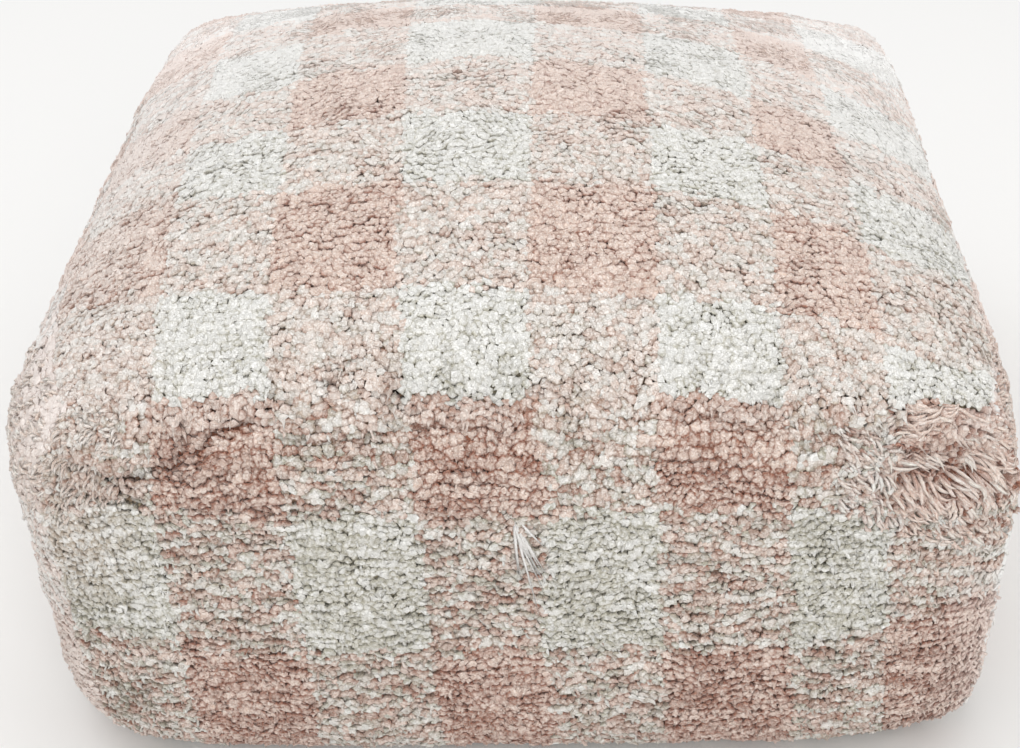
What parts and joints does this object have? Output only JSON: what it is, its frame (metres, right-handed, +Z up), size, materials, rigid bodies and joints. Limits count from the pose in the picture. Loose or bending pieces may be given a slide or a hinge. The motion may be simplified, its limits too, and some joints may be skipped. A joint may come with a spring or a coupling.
{
  "type": "kids pouf",
  "caption": "Square floor pouf with a domed top: a top panel and four bulging side panels of deep tufted cotton in a gingham check, over a filled body with a flat woven base.",
  "frame": {"origin": "centre of the bounding box's bottom face, on the floor under the middle of the pouf", "axes": "+Z up, the front panel faces -Y, +X to the right when it is seen from the front"},
  "size_m": [0.499, 0.5008, 0.2904],
  "materials": {
    "tufted_cotton": "deep cut cotton pile tufted in rows, a gingham check of off-white, dusty pink and the two mixed",
    "woven_base": "plain woven natural cotton canvas"
  },
  "bodies": {
    "root": {"filled_cushion": "woven_base", "top_panel": "tufted_cotton", "front_panel": "tufted_cotton", "right_panel": "tufted_cotton", "back_panel": "tufted_cotton", "left_panel": "tufted_cotton"}
  },
  "joints": []
}
